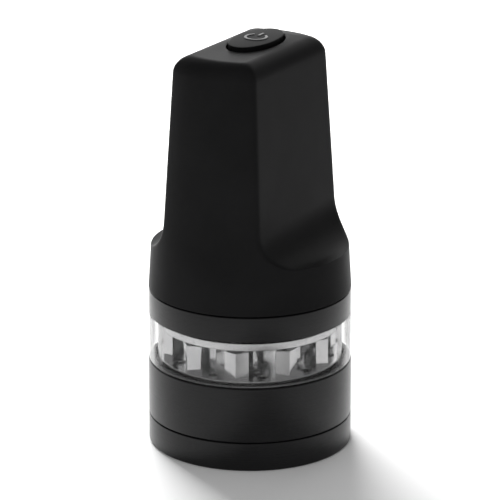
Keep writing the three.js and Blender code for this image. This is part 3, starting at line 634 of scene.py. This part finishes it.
def flattened(radius, flat, blend, angle):
    """Distance from the axis to a circle cut by two flats that face +X and -X, with blended edges."""
    if flat >= radius:
        return radius
    a = abs((angle + math.pi / 2) % math.pi - math.pi / 2)
    blend = min(blend, flat * 0.9)
    inner = radius - blend
    edge = math.acos(min(1, max(-1, (flat - blend) / inner)))
    if a <= math.atan2(inner * math.sin(edge), flat):
        return flat / math.cos(a)
    if a < edge:
        t = a - edge
        return inner * math.cos(t) + math.sqrt(max(0, blend ** 2 - (inner * math.sin(t)) ** 2))
    return radius


def grip_section(z, inset=0, rounding=0):
    """A level section of the grip, as a function of the angle; rounding draws it in near the top."""
    radius = GRIP_RADIUS - GRIP_TAPER * (z - GRIP_BASE) - inset - rounding
    flat = FLAT_HALF - FLAT_TAPER * (z - FLAT_FOOT_TOP) - inset - rounding
    below = FLAT_FOOT_TOP - z
    if below > 0:
        reach = FOOT_FILLET + inset
        flat = FLAT_HALF - inset
        flat += reach - math.sqrt(max(0, reach ** 2 - below ** 2)) if below < reach else 2 * reach
    blend = max(EDGE_BLEND - inset, 0.6)
    lean = min(1, max(0, (z - FLAT_FOOT_TOP) / (GRIP_TOP - TOP_ROUND - FLAT_FOOT_TOP))) ** 2

    def section(angle):
        r = flattened(radius, flat, blend, angle)
        y = r * math.sin(angle)
        return (r * math.cos(angle), y, z - TOP_SLOPE * y * lean)

    return section


def circle(radius, z):
    """A round section."""
    return lambda angle: (radius * math.cos(angle), radius * math.sin(angle), z)


def oval(half, z):
    """An oval section round the button's middle."""
    return lambda angle: (half[0] * math.cos(angle), BUTTON_Y + half[1] * math.sin(angle), z)


def between(first, second, t, lift=0):
    """A section part of the way from one to another, lifted in the middle of the top."""

    def section(angle):
        a, b = Vector(first(angle)), Vector(second(angle))
        return tuple(a.lerp(b, t) + Vector((0, 0, lift)))

    return section


def crown_height(t):
    """Rise of the top from its edge, where t is 0, to the pocket."""
    return CROWN * (1 - (1 - t) ** 2)


def rising(inset, bottom, top_round):
    """Sections up the grip's wall, from bottom to the end of the rounding at the top."""
    shoulder = GRIP_TOP - TOP_ROUND
    foot = FLAT_FOOT_TOP - FOOT_FILLET - inset
    sections = [grip_section(z, inset) for z in spaced(bottom, foot - 0.02, 8)]
    for i in range(1, 25):
        theta = math.radians(90 - 90 * i / 24)
        sections.append(grip_section(FLAT_FOOT_TOP - (FOOT_FILLET + inset) * math.sin(theta), inset))
    sections += [grip_section(z, inset) for z in spaced(FLAT_FOOT_TOP, shoulder, 24)[1:]]
    for i in range(1, 11):
        theta = math.radians(80 * i / 10)
        z = shoulder + top_round * math.sin(theta)
        sections.append(grip_section(z, inset, top_round * (1 - math.cos(theta))))
    return sections


def spaced(start, end, count):
    """Evenly spaced values from start to end, both among them."""
    return [start + (end - start) * i / count for i in range(count + 1)]


def housing():
    """Grip shell with its spigot, pocket, bosses, posts and the openings on its +Y side."""
    outer = rising(0, GRIP_BASE + 0.25, TOP_ROUND)
    inner = rising(WALL, GRIP_BASE + 1.6, TOP_ROUND - WALL)
    rim = oval((POCKET_HALF[0] + 0.45, POCKET_HALF[1] + 0.45), GRIP_TOP + CROWN * 0.75)
    ceiling = GRIP_TOP - WALL
    top = [between(outer[-1], rim, t, crown_height(t) * 0.25) for t in spaced(0, 1, 12)[1:]]
    lip = []
    for i in range(1, 6):
        a = math.radians(18 * i)
        half = [p + 0.45 * (1 - math.sin(a)) for p in POCKET_HALF]
        lip.append(oval(half, GRIP_TOP + CROWN - 0.45 * (1 - math.cos(a))))
    under = oval(POCKET_HALF, ceiling)
    roof = [between(under, inner[-1], t) for t in spaced(0, 1, 6)[1:-1]]
    base = GRIP_RADIUS - 0.01
    spigot = (NECK_BORE - 1.6, NECK_BORE)
    foot = [
        circle(spigot[0], GRIP_BASE + 1.5),
        circle(spigot[0], SPIGOT_BOTTOM + 0.2),
        circle(spigot[0] + 0.2, SPIGOT_BOTTOM),
        circle(spigot[1] - 0.4, SPIGOT_BOTTOM),
        circle(spigot[1], SPIGOT_BOTTOM + 0.4),
        circle(spigot[1], GRIP_BASE),
        circle(base - 0.3, GRIP_BASE),
        circle(base - 0.1, GRIP_BASE + 0.08),
    ]
    shell = skinned([*outer, *top, *lip, under, *roof, *reversed(inner), *foot], 384)
    shell = carved(shell, around(boss, BOSS_CIRCLE, BOSS_ANGLES[2], BOSS_ANGLES[0]), "UNION")
    hangers = [placed(hanger(), side * HANGER_X, BUTTON_Y) for side in (-1, 1)]
    shell = carved(shell, merged(*hangers), "UNION")
    slot = [half + 0.35 for half in PORT_HALF]
    port = laid(bar_of(stadium(*slot), 24, GRIP_RADIUS + 2), 0, PORT_CENTRE)
    light = laid(rod(LIGHT_RADIUS + 0.3, 24, GRIP_RADIUS + 2), LIGHT_X, PORT_CENTRE)
    return carved(shell, merged(port, light))


def boss():
    """Screw boss with its pilot hole and the rib that ties it to the grip's wall."""
    top = BOSS_TOP - 1
    column = turned(eased([
        (0, top), (PILOT_RADIUS, top), (PILOT_RADIUS, GRIP_BASE), (BOSS_RADIUS, GRIP_BASE),
        (BOSS_RADIUS, BOSS_TOP, 0.3), (0, BOSS_TOP),
    ]), 48, loop=False)
    half = BOSS_RADIUS * 0.6
    near, far = PILOT_RADIUS + 0.4, GRIP_RADIUS - 1.2 - BOSS_CIRCLE
    rib = bar_of([(near, -half), (far, -half), (far, half), (near, half)], GRIP_BASE + 0.1, BOSS_TOP - 0.2)
    return carved(column, rib, "UNION")


def hanger():
    """Post under the roof that the switch's board is screwed to."""
    top = GRIP_TOP - WALL
    return turned([
        (0, top - 1.2), (1.1, top - 1.2), (1.1, HANGER_FOOT), (1.8, HANGER_FOOT), (1.8, top + 0.4),
        (0, top + 0.4),
    ], 32, loop=False)


# ---------------------------------------------------------------- button


def button_height(x, y):
    """Height of the button's domed top over a point."""
    reach = (x / BUTTON_HALF[0]) ** 2 + ((y - BUTTON_Y) / BUTTON_HALF[1]) ** 2
    return BUTTON_TOP - 0.2 - BUTTON_DOME * min(1, reach) ** 1.3


def domed(half):
    """An oval section that lies on the button's domed top."""

    def section(angle):
        x = half[0] * math.cos(angle)
        y = BUTTON_Y + half[1] * math.sin(angle)
        return (x, y, button_height(x, y))

    return section


def button_cap():
    """Domed oval cap with a rounded edge and a flange that keeps it under the grip's top."""
    flange = [p + 1.35 for p in BUTTON_HALF]
    step = BUTTON_BOTTOM + 0.8
    sections = [
        oval((0, 0), BUTTON_BOTTOM), oval(flange, BUTTON_BOTTOM), oval(flange, step), oval(BUTTON_HALF, step),
    ]
    side_top = button_height(BUTTON_HALF[0], BUTTON_Y) - BUTTON_EASING
    for i in range(7):
        a = math.radians(13 * i)
        half = [p - BUTTON_EASING * (1 - math.cos(a)) for p in BUTTON_HALF]
        sections.append(oval(half, side_top + BUTTON_EASING * math.sin(a)))
    for t in range(16, -1, -1):
        sections.append(domed([(p - BUTTON_EASING - 0.15) * t / 16 for p in BUTTON_HALF]))
    return skinned(sections, 128, loop=False)


def power_mark():
    """The raised sign on the button: a ring that is open on one side, and a bar in the opening."""
    ring = bmesh.new()
    near, far = MARK_RADIUS - MARK_WIDTH / 2, MARK_RADIUS + MARK_WIDTH / 2
    corners = [(near, -0.4), (far, -0.4), (far, 0.2), (near, 0.2)]
    face = ring.faces.new([ring.verts.new((r * MM, 0, z * MM)) for r, z in corners])
    sweep = TURN - 2 * math.radians(MARK_GAP)
    bmesh.ops.spin(
        ring, geom=[face, *face.verts, *face.edges], cent=(0, 0, 0), axis=(0, 0, 1), angle=sweep, steps=40
    )
    placed(ring, 0, BUTTON_Y, 0, 90 + MARK_GAP)
    half = MARK_WIDTH / 2
    bar = bar_of([(-half, 1.4), (half, 1.4), (half, 4.6), (-half, 4.6)], -0.4, 0.2)
    placed(bar, 0, BUTTON_Y)
    mark = merged(ring, bar)
    bmesh.ops.remove_doubles(mark, verts=mark.verts, dist=1e-7)
    bmesh.ops.recalc_face_normals(mark, faces=mark.faces)
    soften(mark, 0.12, 2)
    for vert in mark.verts:
        vert.co.z += button_height(vert.co.x / MM, vert.co.y / MM) * MM
    return mark


# ---------------------------------------------------------------- small pieces


def seal(node, bore):
    """Rubber ring with rounded edges."""
    radius, bottom, top = size_of(node)
    return turned(eased([(bore, bottom, 0.2), (radius, bottom, 0.2), (radius, top, 0.2), (bore, top, 0.2)]))


def screen_ring():
    """Pressed ring with a lip that carries the screen."""
    radius, bottom, top = size_of("screen_ring")
    bore, step = radius - 0.5, bottom + 0.5
    return turned(eased([
        (bore - 1, bottom, 0.15), (radius, bottom, 0.2), (radius, top, 0.15), (bore, top, 0.15),
        (bore, step), (bore - 1, step, 0.15),
    ]))


def output_shaft():
    """Steel shaft with a blind hole in its lower end for the rotor's screw."""
    radius, bottom, top = size_of("output_shaft")
    bore = 1.5
    return turned(eased([
        (0, bottom + 6), (bore, bottom + 6), (bore, bottom, 0.2), (radius, bottom, 0.3), (radius, top, 0.3),
        (0, top),
    ]), 64, loop=False)


def screw(node, shank, head_height, points_up=True):
    """Pan-head screw with a cross recess and a rolled thread."""
    low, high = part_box(node)
    head = (high.x - low.x) / 2 / MM
    length = (high.z - low.z) / MM
    pitch = 0.5
    outline = [(0, 0), (head, 0, head_height * 0.45), (head, head_height, 0.1), (shank - 0.15, head_height)]
    turns = int((length - head_height - shank) / pitch)
    for i in range(turns):
        z = head_height + 0.2 + i * pitch
        outline += [(shank - 0.15, z), (shank, z + pitch * 0.4), (shank, z + pitch * 0.5)]
    outline += [(shank - 0.15, length - shank), (0.1, length), (0, length)]
    body = turned(eased(outline), 32, loop=False)
    arm, long = head * 0.13, head * 0.62
    cross = [(long, -arm), (long, arm), (arm, arm), (arm, long), (-arm, long), (-arm, arm)]
    cross += [(-x, -y) for x, y in cross]
    body = carved(body, bar_of(cross, -1, head_height * 0.6))
    if not points_up:
        bmesh.ops.rotate(body, cent=(0, 0, 0), matrix=Matrix.Rotation(math.pi, 3, "X"), verts=body.verts)
    middle = (low + high) / 2 / MM
    return placed(body, middle.x, middle.y, (low if points_up else high).z / MM)


def charging_socket():
    """Pressed steel shell with a rounded mouth and the contact tongue inside."""
    depth = PORT_FRONT - PORT_BACK
    inner = [half - 0.35 for half in PORT_HALF]
    shell = carved(bar_of(stadium(*PORT_HALF), 0, depth), bar_of(stadium(*inner), 1, depth + 1))
    soften(shell, 0.12, 2, [e for e in sharp_edges(shell, 60) if e.verts[0].co.z > (depth - 0.1) * MM])
    tongue = bar_of([(-3.3, -0.35), (3.3, -0.35), (3.3, 0.35), (-3.3, 0.35)], 0.6, depth - 1)
    return placed(laid(carved(shell, tongue, "UNION"), 0, PORT_CENTRE), 0, PORT_BACK)


def charge_light():
    """Round light guide with a domed end."""
    low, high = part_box("charge_light")
    length = (high.y - low.y) / MM
    guide = turned(eased([
        (0, 0), (LIGHT_RADIUS, 0, 0.1), (LIGHT_RADIUS, length, 0.45), (0, length),
    ]), 32, loop=False)
    return placed(laid(guide, LIGHT_X, PORT_CENTRE), 0, low.y / MM)


def finished(name, bm, slot, body, node):
    """A piece that stands for one CAD node, in its slot's finish."""
    return piece(name, bm, FINISHES[slot], body, [node])


finished("collection_cup_turned", collection_cup(), "anodised_black", "cup", "collection_cup")
finished("mid_body_turned", mid_body(), "anodised_black", "chamber", "mid_body")
finished("upper_ring_turned", upper_ring(), "anodised_black", "head", "upper_ring")
finished("clear_ring_moulded", clear_ring(), "clear_plastic", "chamber", "clear_ring")
finished("grinding_plate_milled", grinding_plate(), "bare_aluminium", "chamber", "grinding_plate")
finished("grinding_rotor_milled", grinding_rotor(), "bare_aluminium", "rotor", "grinding_rotor")
finished("grip_shell", housing(), "soft_touch", "head", "housing")
finished("button_cap", button_cap(), "button_black", "button", "power_button")
piece("button_mark", power_mark(), FINISHES["button_mark"], "button", [])

finished("head_seal_moulded", seal("head_seal", CLEAR_BORE + 0.2), "seal_rubber", "head", "head_seal")
finished("shaft_seal_moulded", seal("shaft_seal", 3.2), "seal_rubber", "head", "shaft_seal")
finished("screen_ring_pressed", screen_ring(), "steel", "chamber", "screen_ring")
finished("output_shaft_turned", output_shaft(), "steel", "rotor", "output_shaft")
finished("charging_socket_pressed", charging_socket(), "steel", "head", "usb_socket")
finished("charge_light_guide", charge_light(), "white_plastic", "head", "charge_light")

# node, body, shank's radius, height of the head, whether it points up
SCREWS = [
    ("rotor_screw", "rotor", 1.2, 1.6, True),
    *((f"housing_screw_{i}", "head", 1.25, 0.9, True) for i in (1, 2, 3)),
    *((f"gearbox_screw_{i}", "head", 1.25, 1.1, False) for i in (1, 2, 3)),
    *((f"switch_board_screw_{i}", "head", 0.8, 1, True) for i in (1, 2)),
]
for node, body, shank, head_height, points_up in SCREWS:
    finished(node + "_threaded", screw(node, shank, head_height, points_up), "steel", body, node)


# ---------------------------------------------------------------- floor, light and camera


def floor():
    mesh = bpy.data.meshes.new("floor")
    bm = bmesh.new()
    bmesh.ops.create_circle(bm, cap_ends=True, radius=6, segments=64)
    bm.to_mesh(mesh)
    bm.free()
    obj = bpy.data.objects.new("floor", mesh)
    bpy.context.scene.collection.objects.link(obj)
    finish = Finish("floor_white", Roughness=0.9, Specular_IOR_Level=0.1)
    finish.feed("Base Color", finish.blend(finish.noise(3), (0.93, 0.93, 0.93), (0.96, 0.96, 0.96)))
    mesh.materials.append(finish.material)


def towards(azimuth, elevation):
    """Unit vector to a place round the object, azimuth 0 being its -Y side, in degrees."""
    a, e = math.radians(azimuth), math.radians(elevation)
    return Vector((math.sin(a) * math.cos(e), -math.cos(a) * math.cos(e), math.sin(e)))


def softbox(name, azimuth, elevation, distance, width, height, power, target=(0, 0, 0.06), glossy=False):
    """A rectangular area light that faces the target, seen in gloss or not."""
    data = bpy.data.lights.new(name, "AREA")
    data.shape = "RECTANGLE"
    data.size = width
    data.size_y = height
    data.energy = power
    obj = bpy.data.objects.new(name, data)
    away = towards(azimuth, elevation)
    obj.location = Vector(target) + away * distance
    obj.rotation_euler = away.to_track_quat("Z", "Y").to_euler()
    obj.visible_camera = False
    obj.visible_glossy = glossy
    bpy.context.scene.collection.objects.link(obj)
    return obj


WALL_LIGHT = 0.5
CEILING_LIGHT = 0.3
CAMERA_AZIMUTH = 28.84
CAMERA_ELEVATION = 18.2
CAMERA_DISTANCE = 1.2
CAMERA_AIM = (0, 0, 0.0582)
LENS = 293.8


def camera():
    data = bpy.data.cameras.new("camera")
    data.lens = LENS
    data.sensor_width = 36
    data.clip_start = 0.01
    data.clip_end = 100
    obj = bpy.data.objects.new("camera", data)
    away = towards(CAMERA_AZIMUTH, CAMERA_ELEVATION)
    obj.location = Vector(CAMERA_AIM) + away * CAMERA_DISTANCE
    obj.rotation_euler = away.to_track_quat("Z", "Y").to_euler()
    bpy.context.scene.collection.objects.link(obj)
    bpy.context.scene.camera = obj


def world():
    """White walls all round that end at a dim ceiling."""
    surroundings = bpy.data.worlds.new("studio")
    surroundings.use_nodes = True
    tree = surroundings.node_tree
    place = tree.nodes.new("ShaderNodeTexCoord")
    split = tree.nodes.new("ShaderNodeSeparateXYZ")
    ramp = tree.nodes.new("ShaderNodeMapRange")
    ramp.interpolation_type = "SMOOTHSTEP"
    settings = {"From Min": 0.4, "From Max": 0.6, "To Min": WALL_LIGHT, "To Max": CEILING_LIGHT}
    for name, value in settings.items():
        ramp.inputs[name].default_value = value
    background = tree.nodes["Background"]
    background.inputs["Color"].default_value = (1, 1, 1, 1)
    tree.links.new(place.outputs["Generated"], split.inputs["Vector"])
    tree.links.new(split.outputs["Z"], ramp.inputs["Value"])
    tree.links.new(ramp.outputs["Result"], background.inputs["Strength"])
    bpy.context.scene.world = surroundings


FLOOR_BEHIND = towards(CAMERA_AZIMUTH + 180, 0) * 0.5
floor()
camera()
world()
softbox("back_box", CAMERA_AZIMUTH + 205, 50, 1.1, 0.7, 0.5, 36, target=FLOOR_BEHIND)
softbox("low_box", CAMERA_AZIMUTH + 180, 18, 1.5, 2.0, 0.8, 9, glossy=True)
softbox("front_box", CAMERA_AZIMUTH - 20, 12, 1.0, 0.5, 0.4, 3)
bpy.context.scene.view_settings.view_transform = "Standard"
bpy.context.scene.view_settings.look = "None"
